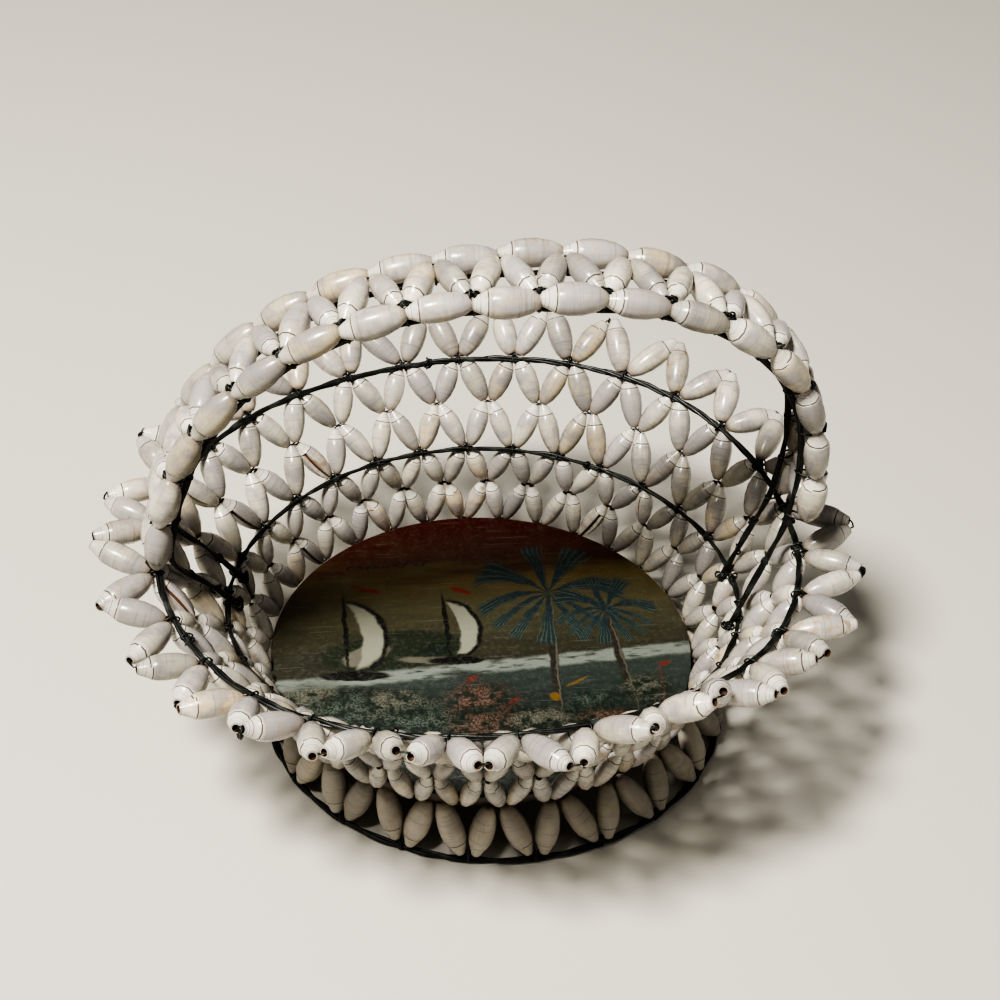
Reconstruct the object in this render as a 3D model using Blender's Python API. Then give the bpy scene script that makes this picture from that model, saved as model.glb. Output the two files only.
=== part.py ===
# An oval basket made of sea shells wired tip to tip. A painted board is its floor, five zigzag rows of
# small shells are its wall, one zigzag row of larger shells is its foot, and two strings of shells with
# a zigzag between them arch over it as the handle. Wire rings and two stout handle wires carry it.
# Metres, +Z up, long axis on X. The origin is below the middle of the rim, on the ground.

import math

import bmesh
import bpy
from mathutils import Vector

# Gap left between two pieces that touch in the real basket
GAP = 0.0003

# Floor board, and where its middle stands: the hand-made basket leans a little, so the rim isn't over it
BOARD_HALF_LENGTH = 0.0650
BOARD_HALF_WIDTH = 0.0570
BOARD_THICKNESS = 0.0040
BOARD_UNDERSIDE_HEIGHT = 0.0200
BOARD_EDGE_ROUNDING = 0.0006
BOARD_SHIFT = Vector((0.0020, 0.0, 0.0))
BOARD_CORNERS = 40

# Foot ring and the zigzag of larger shells that stands on it
FOOT_RING_HALF_LENGTH = 0.0715
FOOT_RING_HALF_WIDTH = 0.0610
FOOT_RING_SHIFT = Vector((0.0070, -0.0020, 0.0))
FOOT_WIRE_RADIUS = 0.0015
FOOT_SHELL_PAIRS = 21
FOOT_TIPS_UNDER_BOARD = 0.0035

# Wall: five rows between the board's edge and the free tips, with a wire ring above rows 2 and 4
WALL_SHELL_PAIRS = 30
WALL_OUTSIDE_BOARD = 0.0015
LOWER_RING_HALF_LENGTH = 0.0780
LOWER_RING_HALF_WIDTH = 0.0625
LOWER_RING_HEIGHT_OVER_BOARD = 0.0245
LOWER_RING_DIP_AT_ENDS = 0.0025
LOWER_WIRE_RADIUS = 0.0010
RIM_HALF_LENGTH = 0.0940
RIM_HALF_WIDTH = 0.0790
RIM_HEIGHT_OVER_BOARD = 0.0495
RIM_DIP_AT_ENDS = 0.0030
RIM_WAVES = 3
RIM_WAVE_HEIGHT = 0.0024
RIM_WAVE_PHASE = math.radians(45)
RIM_WIRE_RADIUS = 0.0013
WIRE_TO_TIPS_CLEARANCE = 0.0014
TOP_ROW_REACH = 0.0160
TOP_ROW_SLOPE_AT_ENDS = math.radians(16)
TOP_ROW_SLOPE_AT_SIDES = math.radians(34)

# How the shells meet: tips side by side at a node, one row's nodes just above the next row's
TIP_RADIUS = 0.0010
TIP_HALF_SPREAD = 0.00125
FULL_WIDTH_AT = (0.36, 0.64)
NEIGHBOUR_CLEARANCE = 0.0004
SMALL_SHELL_SIDES = 3
LARGE_SHELL_SIDES = 4

# Handle: a leaning arch over the long axis, a little left of the rim's middle
HANDLE_RISE = 0.0875
HANDLE_INSIDE_RIM = 0.0030
HANDLE_LEFT_OF_MIDDLE = 0.0010
HANDLE_LEAN = 0.0100
HANDLE_SQUARENESS = 2.4
HANDLE_WIDTH = 0.0196
HANDLE_SHELLS = 17
HANDLE_SHELL_RADIUS = 0.0037
HANDLE_MIDDLE_SHELL_RADIUS = 0.0031
HANDLE_TIP_RADIUS = 0.0012
HANDLE_WIRE_RADIUS = 0.00125
LEG_PAST_LOWER_RING = 0.0030
FRONT_LEG_ANGLES = (math.radians(177), math.radians(-16))
BACK_LEG_ANGLES = (math.radians(167), math.radians(5))

# Points along the wires, and the number of flats round them
RING_POINTS = 32
FOOT_RING_FLATS = 6
WIRE_FLATS = 4
ARCH_SAMPLES = 400

SHELL_WHITE = (0.78, 0.72, 0.62)
WIRE_BLACK = (0.030, 0.032, 0.028)
BOARD_PAINT = (0.16, 0.13, 0.07)

board_top = BOARD_UNDERSIDE_HEIGHT + BOARD_THICKNESS
foot_wire_height = 2 * FOOT_WIRE_RADIUS * math.cos(math.pi / FOOT_RING_FLATS)


# Basic tools

def clear_scene():
    for old in list(bpy.data.objects):
        bpy.data.objects.remove(old, do_unlink=True)


def principled(name, colour, roughness, metallic):
    material = bpy.data.materials.new(name)
    material.use_nodes = True
    shader = material.node_tree.nodes["Principled BSDF"]
    shader.inputs["Base Color"].default_value = (*colour, 1.0)
    shader.inputs["Roughness"].default_value = roughness
    shader.inputs["Metallic"].default_value = metallic
    return material


def add_object(name, bm, colour, roughness, metallic=0.0):
    bmesh.ops.recalc_face_normals(bm, faces=bm.faces)
    mesh = bpy.data.meshes.new(name)
    bm.to_mesh(mesh)
    bm.free()
    mesh.shade_smooth()
    mesh.set_sharp_from_angle(angle=math.radians(50))
    mesh.materials.append(principled(name + "_finish", colour, roughness, metallic))
    bpy.context.scene.collection.objects.link(bpy.data.objects.new(name, mesh))


def section(centre, along, outward, radius, turn=0.0):
    """One cross-section of a swept piece: its centre, its two axes, its radius and how far it is turned."""
    first = (outward - along * outward.dot(along)).normalized()
    return centre, first, along.cross(first), radius, turn


def join_sections(bm, one, other):
    """Close the band between two rings of corners, each patch split along its shorter diagonal."""
    count = len(one)
    for i in range(count):
        a, b = one[i], one[(i + 1) % count]
        c, d = other[(i + 1) % count], other[i]
        if (a.co - c.co).length <= (b.co - d.co).length:
            bm.faces.new((a, b, c))
            bm.faces.new((a, c, d))
        else:
            bm.faces.new((a, b, d))
            bm.faces.new((b, c, d))


def sweep(sections, sides, closed):
    """A mesh through all the sections, run round into a ring or capped at its two ends."""
    bm = bmesh.new()
    rings = []
    for centre, first, second, radius, turn in sections:
        angles = [turn + 2 * math.pi * i / sides for i in range(sides)]
        corners = [centre + radius * (first * math.cos(a) + second * math.sin(a)) for a in angles]
        rings.append([bm.verts.new(corner) for corner in corners])
    for one, other in zip(rings, rings[1:]):
        join_sections(bm, one, other)
    if closed:
        join_sections(bm, rings[-1], rings[0])
    else:
        bm.faces.new(rings[0])
        bm.faces.new(reversed(rings[-1]))
    return bm


# The wall's surface: level 0 is the board's edge, 2 the lower ring, 4 the rim, 5 the free tips

def oval(half_length, half_width, angle, height, shift=Vector()):
    return shift + Vector((half_length * math.cos(angle), half_width * math.sin(angle), height))


def board_edge(angle):
    half_length = BOARD_HALF_LENGTH + WALL_OUTSIDE_BOARD
    half_width = BOARD_HALF_WIDTH + WALL_OUTSIDE_BOARD
    return oval(half_length, half_width, angle, board_top, BOARD_SHIFT)


def lower_ring_line(angle, inset=0.0):
    height = board_top + LOWER_RING_HEIGHT_OVER_BOARD - LOWER_RING_DIP_AT_ENDS * math.cos(2 * angle)
    return oval(LOWER_RING_HALF_LENGTH - inset, LOWER_RING_HALF_WIDTH - inset, angle, height, BOARD_SHIFT)


def rim_line(angle, inset=0.0):
    height = board_top + RIM_HEIGHT_OVER_BOARD - RIM_DIP_AT_ENDS * math.cos(2 * angle)
    height += RIM_WAVE_HEIGHT * math.cos(RIM_WAVES * (angle - RIM_WAVE_PHASE))
    return oval(RIM_HALF_LENGTH - inset, RIM_HALF_WIDTH - inset, angle, height)


def free_tips(angle):
    slope = TOP_ROW_SLOPE_AT_ENDS + (TOP_ROW_SLOPE_AT_SIDES - TOP_ROW_SLOPE_AT_ENDS) * math.sin(angle) ** 2
    return rim_line(angle, -TOP_ROW_REACH * math.cos(slope)) + Vector((0, 0, TOP_ROW_REACH * math.sin(slope)))


def wall_point(level, angle):
    if level == 1:
        return (board_edge(angle) + lower_ring_line(angle)) / 2
    if level == 3:
        return (lower_ring_line(angle) + rim_line(angle)) / 2
    return {0: board_edge, 2: lower_ring_line, 4: rim_line, 5: free_tips}[level](angle)


def even_angles(line, count, steps=720):
    """Angles that part a line round the basket into equal lengths, from the end of its long axis."""
    angles = [2 * math.pi * i / steps for i in range(steps + 1)]
    distances = [0.0]
    for one, other in zip(angles, angles[1:]):
        distances.append(distances[-1] + (line(other) - line(one)).length)
    found = []
    i = 0
    for k in range(count):
        wanted = distances[-1] * k / count
        while distances[i + 1] < wanted:
            i += 1
        share = (wanted - distances[i]) / (distances[i + 1] - distances[i])
        found.append(angles[i] + share * (angles[i + 1] - angles[i]))
    return found


def direction(line, angle, step=0.01):
    """Which way a line round the basket runs at an angle."""
    return (line(angle + step) - line(angle - step)).normalized()


# Shells

def section_turn(sides):
    """How far a shell's two full-width sections are turned from its tips, one each way."""
    return math.pi / (2 * sides)


def shell_sections(start, end, outward, radius, sides):
    """The two full-width sections of one shell, turned against each other to round it off."""
    along = (end - start).normalized()
    turn = section_turn(sides)
    low, high = (start.lerp(end, share) for share in FULL_WIDTH_AT)
    return [section(low, along, outward, radius, turn), section(high, along, outward, radius, -turn)]


def node_limit(before, here, after, sides):
    """The largest radius that lets the two shells that meet at a node stand side by side."""
    sideways = [math.sin(section_turn(sides) + 2 * math.pi * i / sides) for i in range(sides)]
    reach = max(sideways) - min(sideways)
    pitch = (after[0] - before[0]).length - 4 * TIP_HALF_SPREAD
    upright = 1.0
    for far in (before[0], after[0]):
        leaning = (far - here[0]).normalized().dot(here[1])
        upright = min(upright, math.sqrt(1 - leaning**2))
    apart = 2 * TIP_HALF_SPREAD + FULL_WIDTH_AT[0] * pitch
    return (apart * upright - NEIGHBOUR_CLEARANCE) / reach


def zigzag_row(name, bottom_line, top_line, angles, sides):
    """A closed chain of shells, down and up between two lines round the basket. Each fills its own place."""
    nodes = []
    for i, angle in enumerate(angles):
        line = top_line if i % 2 else bottom_line
        run = direction(line, angle)
        rise = (top_line(angle) - bottom_line(angle)).normalized()
        nodes.append((line(angle), run, run.cross(rise).normalized()))
    count = len(nodes)
    limits = [node_limit(nodes[i - 1], nodes[i], nodes[(i + 1) % count], sides) for i in range(count)]
    sections = []
    for i, (here, run, outward) in enumerate(nodes):
        there, next_run, next_outward = nodes[(i + 1) % count]
        sections.append(section(here, run, outward, TIP_RADIUS))
        start = here + run * TIP_HALF_SPREAD
        end = there - next_run * TIP_HALF_SPREAD
        radius = min(limits[i], limits[(i + 1) % count])
        sections += shell_sections(start, end, outward + next_outward, radius, sides)
    add_object(name, sweep(sections, sides, closed=True), SHELL_WHITE, 0.35)


def wall_row(row):
    """Row 1 starts at the board's edge. Its tips keep clear of the tips of the rows below and above."""
    below, above = row - 1, row
    tip_offset = TIP_RADIUS + GAP / 2

    def bottom_line(angle):
        low, high = wall_point(below, angle), wall_point(above, angle)
        return low + (high - low).normalized() * (tip_offset if below else GAP)

    def top_line(angle):
        low, high = wall_point(below, angle), wall_point(above, angle)
        return high - (high - low).normalized() * tip_offset

    sides = LARGE_SHELL_SIDES if row == 5 else SMALL_SHELL_SIDES
    first = 0 if below % 2 else 1
    angles = wall_angles[first:] + [2 * math.pi + angle for angle in wall_angles[:first]]
    zigzag_row(f"wall_shells_row_{row}", bottom_line, top_line, angles, sides)


def foot_row():
    """The larger shells run from under the board's margin out and down to the top of the foot ring."""

    def bottom_line(angle):
        height = foot_wire_height + GAP + TIP_RADIUS
        return oval(FOOT_RING_HALF_LENGTH, FOOT_RING_HALF_WIDTH, angle, height, FOOT_RING_SHIFT)

    def top_line(angle):
        height = BOARD_UNDERSIDE_HEIGHT - GAP - TIP_RADIUS
        shift = (BOARD_SHIFT + FOOT_RING_SHIFT) / 2
        half_length = BOARD_HALF_LENGTH - FOOT_TIPS_UNDER_BOARD
        half_width = BOARD_HALF_WIDTH - FOOT_TIPS_UNDER_BOARD
        return oval(half_length, half_width, angle, height, shift)

    angles = even_angles(bottom_line, 2 * FOOT_SHELL_PAIRS)
    zigzag_row("foot_shells", bottom_line, top_line, angles, LARGE_SHELL_SIDES)


# Board and rings

def floor_board():
    bm = bmesh.new()
    bmesh.ops.create_circle(bm, cap_ends=True, segments=BOARD_CORNERS, radius=1.0)
    bmesh.ops.scale(bm, vec=(BOARD_HALF_LENGTH, BOARD_HALF_WIDTH, 1.0), verts=bm.verts)
    bmesh.ops.translate(bm, vec=BOARD_SHIFT + Vector((0, 0, BOARD_UNDERSIDE_HEIGHT)), verts=bm.verts)
    raised = bmesh.ops.extrude_face_region(bm, geom=bm.faces[:])
    top = [item for item in raised["geom"] if isinstance(item, bmesh.types.BMVert)]
    bmesh.ops.translate(bm, vec=(0, 0, BOARD_THICKNESS), verts=top)
    rims = [e for e in bm.edges if abs(e.verts[0].co.z - e.verts[1].co.z) < BOARD_THICKNESS / 2]
    bmesh.ops.bevel(bm, geom=rims, offset=BOARD_EDGE_ROUNDING, segments=1, affect="EDGES")
    add_object("floor_board", bm, BOARD_PAINT, 0.55)


def ring(name, line, wire_radius, flats):
    """A wire ring along a line round the basket. An even number of flats leaves one of them underneath."""
    sections = []
    for i in range(RING_POINTS):
        angle = 2 * math.pi * i / RING_POINTS
        run = direction(line, angle)
        outward = run.cross(Vector((0, 0, 1)))
        sections.append(section(line(angle), run, outward, wire_radius))
    add_object(name, sweep(sections, flats, closed=True), WIRE_BLACK, 0.4, 0.8)


def foot_ring_line(angle):
    return oval(FOOT_RING_HALF_LENGTH, FOOT_RING_HALF_WIDTH, angle, foot_wire_height / 2, FOOT_RING_SHIFT)


def lower_wire_line(angle):
    return lower_ring_line(angle, TIP_RADIUS + LOWER_WIRE_RADIUS + WIRE_TO_TIPS_CLEARANCE)


def rim_wire_line(angle):
    return rim_line(angle, TIP_RADIUS + RIM_WIRE_RADIUS + WIRE_TO_TIPS_CLEARANCE)


# Handle

def arch_points():
    """The arch that the edge strings follow, from the left foot to the right, in its own plane."""
    half_span = RIM_HALF_LENGTH - HANDLE_INSIDE_RIM
    base = max(rim_line(0.0).z, rim_line(math.pi).z) + RIM_WIRE_RADIUS + GAP + HANDLE_TIP_RADIUS
    power = 2 / HANDLE_SQUARENESS
    points = []
    for i in range(ARCH_SAMPLES + 1):
        angle = math.pi * (1 - i / ARCH_SAMPLES)
        across = math.copysign(abs(math.cos(angle)) ** power, math.cos(angle))
        up = max(math.sin(angle), 0.0) ** power
        x = half_span * across + HANDLE_LEAN * up - HANDLE_LEFT_OF_MIDDLE
        points.append(Vector((x, 0.0, base + HANDLE_RISE * up)))
    return points


def arch_table():
    """The same points, each with its distance along the arch."""
    points = arch_points()
    distances = [0.0]
    for one, other in zip(points, points[1:]):
        distances.append(distances[-1] + (other - one).length)
    return points, distances


arch, arch_distances = arch_table()
handle_pitch = arch_distances[-1] / (HANDLE_SHELLS + 0.5)


def on_arch(distance):
    """Place, direction and outward side of the arch at a distance from its left foot."""
    distance = min(max(distance, 0.0), arch_distances[-1])
    i = 1
    while arch_distances[i] < distance and i < ARCH_SAMPLES:
        i += 1
    share = (distance - arch_distances[i - 1]) / (arch_distances[i] - arch_distances[i - 1])
    along = (arch[i] - arch[i - 1]).normalized()
    return arch[i - 1].lerp(arch[i], share), along, Vector((-along.z, 0.0, along.x))


def edge_string(name, side, start):
    """Shells end to end along one edge of the handle: side is -1 at the front and 1 at the back."""
    beside = Vector((0, side * HANDLE_WIDTH / 2, 0))
    sections = []
    for i in range(HANDLE_SHELLS):
        here, along, outward = on_arch((start + i) * handle_pitch)
        there, next_along, next_outward = on_arch((start + i + 1) * handle_pitch)
        sections.append(section(here + beside, along, outward, HANDLE_TIP_RADIUS))
        sections += shell_sections(
            here + beside, there + beside, outward + next_outward, HANDLE_SHELL_RADIUS, LARGE_SHELL_SIDES
        )
    sections.append(section(there + beside, next_along, next_outward, HANDLE_TIP_RADIUS))
    add_object(name, sweep(sections, LARGE_SHELL_SIDES, closed=False), SHELL_WHITE, 0.35)


def handle_zigzag():
    """The middle row, whose tips lie beside the nodes of the front string and of the back string in turn."""
    reach = HANDLE_WIDTH / 2 - HANDLE_TIP_RADIUS - TIP_RADIUS - GAP
    nodes = []
    for i in range(2 * HANDLE_SHELLS + 1):
        place, along, outward = on_arch(i * handle_pitch / 2)
        side = 1 if i % 2 else -1
        nodes.append((place + Vector((0, side * reach, 0)), along, outward))
    sections = []
    for (here, along, outward), (there, next_along, next_outward) in zip(nodes, nodes[1:]):
        sections.append(section(here, along, outward, TIP_RADIUS))
        start = here + along * TIP_HALF_SPREAD
        end = there - next_along * TIP_HALF_SPREAD
        radius = HANDLE_MIDDLE_SHELL_RADIUS
        sections += shell_sections(start, end, outward + next_outward, radius, SMALL_SHELL_SIDES)
    sections.append(section(there, next_along, next_outward, TIP_RADIUS))
    add_object("handle_shells_middle", sweep(sections, SMALL_SHELL_SIDES, closed=False), SHELL_WHITE, 0.35)


def leg_end(angle):
    """The foot of a handle wire, on the inner side of the lower ring and a little below it."""
    inset = TIP_RADIUS + 2 * LOWER_WIRE_RADIUS + WIRE_TO_TIPS_CLEARANCE + GAP + HANDLE_WIRE_RADIUS
    slant = (wall_point(4, angle) - wall_point(2, angle)).normalized()
    return lower_ring_line(angle, inset / slant.z) - slant * LEG_PAST_LOWER_RING


def handle_wire(name, side, leg_angles):
    """One stout wire: up from the lower ring, along the inner side of an edge string, and down again."""
    under = HANDLE_SHELL_RADIUS + GAP + HANDLE_WIRE_RADIUS
    beside = Vector((0, side * HANDLE_WIDTH / 2, 0))
    route = []
    for i in range(HANDLE_SHELLS + 2):
        place, along, outward = on_arch(i * handle_pitch)
        route.append(place + beside - outward * under)
    left, right = (leg_end(angle) for angle in leg_angles)
    route = [left, left.lerp(route[0], 0.5)] + route + [route[-1].lerp(right, 0.5), right]
    sections = []
    for i, place in enumerate(route):
        along = (route[min(i + 1, len(route) - 1)] - route[max(i - 1, 0)]).normalized()
        sections.append(section(place, along, Vector((0, 1, 0)), HANDLE_WIRE_RADIUS, math.pi / WIRE_FLATS))
    add_object(name, sweep(sections, WIRE_FLATS, closed=False), WIRE_BLACK, 0.4, 0.8)


clear_scene()
wall_angles = even_angles(rim_line, 2 * WALL_SHELL_PAIRS)
floor_board()
ring("foot_ring", foot_ring_line, FOOT_WIRE_RADIUS, FOOT_RING_FLATS)
foot_row()
for row in range(1, 6):
    wall_row(row)
ring("lower_ring_wire", lower_wire_line, LOWER_WIRE_RADIUS, WIRE_FLATS)
ring("rim_wire", rim_wire_line, RIM_WIRE_RADIUS, WIRE_FLATS)
edge_string("handle_shells_front", -1, 0.0)
edge_string("handle_shells_back", 1, 0.5)
handle_zigzag()
handle_wire("handle_wire_front", -1, FRONT_LEG_ANGLES)
handle_wire("handle_wire_back", 1, BACK_LEG_ANGLES)
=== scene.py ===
# Shell basket: olive shells wired in zigzag rows round a painted board, with a shell foot and a handle.
import math
import random

import bpy
from mathutils import Euler, Matrix, Vector


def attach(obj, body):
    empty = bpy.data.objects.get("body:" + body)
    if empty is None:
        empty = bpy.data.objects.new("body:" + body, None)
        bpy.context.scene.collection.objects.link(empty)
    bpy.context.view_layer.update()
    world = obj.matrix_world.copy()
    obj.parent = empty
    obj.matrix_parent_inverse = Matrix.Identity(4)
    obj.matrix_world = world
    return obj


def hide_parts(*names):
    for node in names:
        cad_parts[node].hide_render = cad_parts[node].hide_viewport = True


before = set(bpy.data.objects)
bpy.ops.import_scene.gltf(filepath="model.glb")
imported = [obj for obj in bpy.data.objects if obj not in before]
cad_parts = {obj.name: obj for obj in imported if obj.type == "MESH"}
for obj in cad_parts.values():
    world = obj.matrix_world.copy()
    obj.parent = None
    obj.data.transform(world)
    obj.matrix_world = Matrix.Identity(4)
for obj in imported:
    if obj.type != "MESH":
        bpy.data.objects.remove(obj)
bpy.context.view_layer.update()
print("frame loaded")


# camera, lights and floor

cameraSettings = {
    "place": (-0.04926, -0.31990, 0.39196),
    "lookAt": (0.00503, 0.00605, 0.08),
    "roll": 4.271,  # degrees, the picture is a little tilted
    "lens": 56.88,
}

roomSettings = {
    "floorColour": (0.60, 0.575, 0.51, 1.0),
    "floorHalf": 3.0,
    "skyColour": (0.92, 0.90, 0.85, 1.0),
    "skyStrength": 0.070,
    "keyPlace": (-0.43, -0.26, 1.16),
    "keySize": 0.24,
    "keyPower": 28.5,
    "keyColour": (1.0, 0.965, 0.90),
    "fillPlace": (0.60, -0.40, 1.15),
    "fillSize": 1.2,
    "fillPower": 1.4,
    "fillColour": (1.0, 0.97, 0.92),
    "aimedAt": (0.0, 0.0, 0.07),
}


def makeCamera(settings):
    data = bpy.data.cameras.new("photoCamera")
    data.lens = settings["lens"]
    data.sensor_width = 36.0
    data.clip_start, data.clip_end = 0.01, 20.0
    camera = bpy.data.objects.new("photoCamera", data)
    bpy.context.scene.collection.objects.link(camera)
    place = Vector(settings["place"])
    turn = (Vector(settings["lookAt"]) - place).to_track_quat("-Z", "Y").to_matrix()
    turn = turn @ Matrix.Rotation(math.radians(settings["roll"]), 3, "Z")
    camera.matrix_world = Matrix.Translation(place) @ turn.to_4x4()
    bpy.context.scene.camera = camera
    bpy.context.scene.view_settings.look = "AgX - High Contrast"


def areaLight(name, settings):
    data = bpy.data.lights.new(name + "Light", "AREA")
    data.shape = "DISK"
    data.size = settings[name + "Size"]
    data.energy = settings[name + "Power"]
    data.color = settings[name + "Colour"]
    light = bpy.data.objects.new(name + "Light", data)
    bpy.context.scene.collection.objects.link(light)
    place = Vector(settings[name + "Place"])
    turn = (Vector(settings["aimedAt"]) - place).to_track_quat("-Z", "Y").to_matrix().to_4x4()
    light.matrix_world = Matrix.Translation(place) @ turn


def makeRoom(settings):
    bpy.ops.object.select_all(action="DESELECT")
    half = settings["floorHalf"]
    bpy.ops.mesh.primitive_plane_add(size=2 * half, location=(0, 0, 0))
    floor = bpy.context.object
    floor.name = "studioFloor"
    material = bpy.data.materials.new("floorPaper")
    material.use_nodes = True
    shader = material.node_tree.nodes["Principled BSDF"]
    shader.inputs["Base Color"].default_value = settings["floorColour"]
    shader.inputs["Roughness"].default_value = 0.85
    floor.data.materials.append(material)
    world = bpy.data.worlds.new("studioSky")
    bpy.context.scene.world = world
    world.use_nodes = True
    sky = world.node_tree.nodes["Background"]
    sky.inputs["Color"].default_value = settings["skyColour"]
    sky.inputs["Strength"].default_value = settings["skyStrength"]
    for name in ("key", "fill"):
        areaLight(name, settings)


makeCamera(cameraSettings)
makeRoom(roomSettings)
print("camera, lights and floor made")


# small node tools

def addNode(tree, kind, **settings):
    node = tree.nodes.new(kind)
    for name, value in settings.items():
        setattr(node, name, value)
    return node


def plug(tree, value, socket):
    if isinstance(value, bpy.types.NodeSocket):
        tree.links.new(value, socket)
    else:
        socket.default_value = value


def calc(tree, operation, first, second=0.0, third=0.0, clamp=False):
    node = addNode(tree, "ShaderNodeMath", operation=operation, use_clamp=clamp)
    for value, socket in zip((first, second, third), node.inputs):
        plug(tree, value, socket)
    return node.outputs[0]


def mixColours(tree, factor, first, second):
    node = addNode(tree, "ShaderNodeMix", data_type="RGBA")
    plug(tree, factor, node.inputs[0])
    plug(tree, first, node.inputs[6])
    plug(tree, second, node.inputs[7])
    return node.outputs[2]


def softStep(tree, value, low, high, toLow=0.0, toHigh=1.0):
    node = addNode(tree, "ShaderNodeMapRange", interpolation_type="SMOOTHSTEP")
    plug(tree, value, node.inputs[0])
    for socket, number in zip(node.inputs[1:5], (low, high, toLow, toHigh)):
        socket.default_value = number
    return node.outputs[0]


def noiseAt(tree, vector, scale, detail=3.0, roughness=0.55):
    node = addNode(tree, "ShaderNodeTexNoise")
    plug(tree, vector, node.inputs["Vector"])
    plug(tree, scale, node.inputs["Scale"])
    node.inputs["Detail"].default_value = detail
    node.inputs["Roughness"].default_value = roughness
    return node.outputs[0]


def ramp(tree, value, stops):
    node = addNode(tree, "ShaderNodeValToRGB")
    plug(tree, value, node.inputs[0])
    band = node.color_ramp
    while len(band.elements) < len(stops):
        band.elements.new(0.5)
    for element, (place, colour) in zip(band.elements, stops):
        element.position = place
        element.color = (*colour, 1.0)
    return node.outputs[0]


def splitAxes(tree, vector):
    node = addNode(tree, "ShaderNodeSeparateXYZ")
    tree.links.new(vector, node.inputs[0])
    return node.outputs


def scaledAxes(tree, *pairs):
    node = addNode(tree, "ShaderNodeCombineXYZ")
    for (value, scale), socket in zip(pairs, node.inputs):
        tree.links.new(calc(tree, "MULTIPLY", value, scale), socket)
    return node.outputs[0]


def bumpBy(tree, shader, height, strength, depth):
    bump = addNode(tree, "ShaderNodeBump")
    bump.inputs["Strength"].default_value = strength
    bump.inputs["Distance"].default_value = depth
    tree.links.new(height, bump.inputs["Height"])
    tree.links.new(bump.outputs[0], shader.inputs["Normal"])


def makeMottle():
    group = bpy.data.node_groups.new("handMottle", "ShaderNodeTree")
    sockets = {
        "INPUT": "Place Vector, Scale Float, Amount Float, Colour Color, Stain Color",
        "OUTPUT": "Colour Color, Mask Float, Height Float",
    }
    for way, pairs in sockets.items():
        for pair in pairs.split(", "):
            name, kind = pair.split()
            group.interface.new_socket(name=name, in_out=way, socket_type="NodeSocket" + kind)
    inside = addNode(group, "NodeGroupInput")
    outside = addNode(group, "NodeGroupOutput")
    place, scale = inside.outputs["Place"], inside.outputs["Scale"]
    coarse = noiseAt(group, place, scale, 4.0, 0.5)
    fine = noiseAt(group, place, calc(group, "MULTIPLY", scale, 5.0), 2.0, 0.5)
    patches = softStep(group, coarse, 0.48, 0.70)
    specks = softStep(group, fine, 0.60, 0.74)
    both = calc(group, "MAXIMUM", patches, calc(group, "MULTIPLY", specks, 0.6))
    mask = calc(group, "MULTIPLY", both, inside.outputs["Amount"], clamp=True)
    stained = mixColours(group, mask, inside.outputs["Colour"], inside.outputs["Stain"])
    height = calc(group, "MULTIPLY_ADD", fine, 0.4, coarse)
    for name, value in (("Colour", stained), ("Mask", mask), ("Height", height)):
        group.links.new(value, outside.inputs[name])
    return group


mottleGroup = makeMottle()


def mottle(tree, place, scale, amount, colour, stain):
    node = addNode(tree, "ShaderNodeGroup", node_tree=mottleGroup)
    for value, socket in zip((place, scale, amount, colour, stain), node.inputs):
        plug(tree, value, socket)
    return node.outputs


def newMaterial(name):
    material = bpy.data.materials.new(name)
    material.use_nodes = True
    tree = material.node_tree
    return material, tree, tree.nodes["Principled BSDF"]


# shell finishes

glossyShell = {
    "cream": (0.54, 0.505, 0.415, 1.0),
    "rose": (0.345, 0.325, 0.32, 1.0),
    "straw": (0.62, 0.50, 0.31, 1.0),
    "spire": (0.72, 0.69, 0.61, 1.0),
    "line": (0.055, 0.042, 0.034, 1.0),
    # painted shade of the shell's hollow inside, seen through the hole and the slit
    "hollowShade": (0.085, 0.042, 0.020, 1.0),
    "stain": (0.36, 0.25, 0.15, 1.0),
    # grey-brown for the growth lines, and for the ends, where it is partly dirt and partly painted shade
    "grimeAndShade": (0.16, 0.14, 0.125, 1.0),
    "roughness": (0.22, 0.40),
    "coat": 0.30,
    "coatRoughness": 0.18,
    "bump": 0.5,
    "bumpDepth": 0.00025,
    # height along the shell and half the width of each seam of the coil, the main one first
    "seams": ((0.798, 0.0135), (0.905, 0.0065), (0.958, 0.0050)),
    "seamClimb": 0.035,
}

mattShell = glossyShell | {
    "cream": (0.42, 0.385, 0.315, 1.0),
    "rose": (0.35, 0.315, 0.275, 1.0),
    "straw": (0.41, 0.365, 0.26, 1.0),
    "spire": (0.47, 0.435, 0.37, 1.0),
    "roughness": (0.50, 0.68),
    "coat": 0.05,
}


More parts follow.
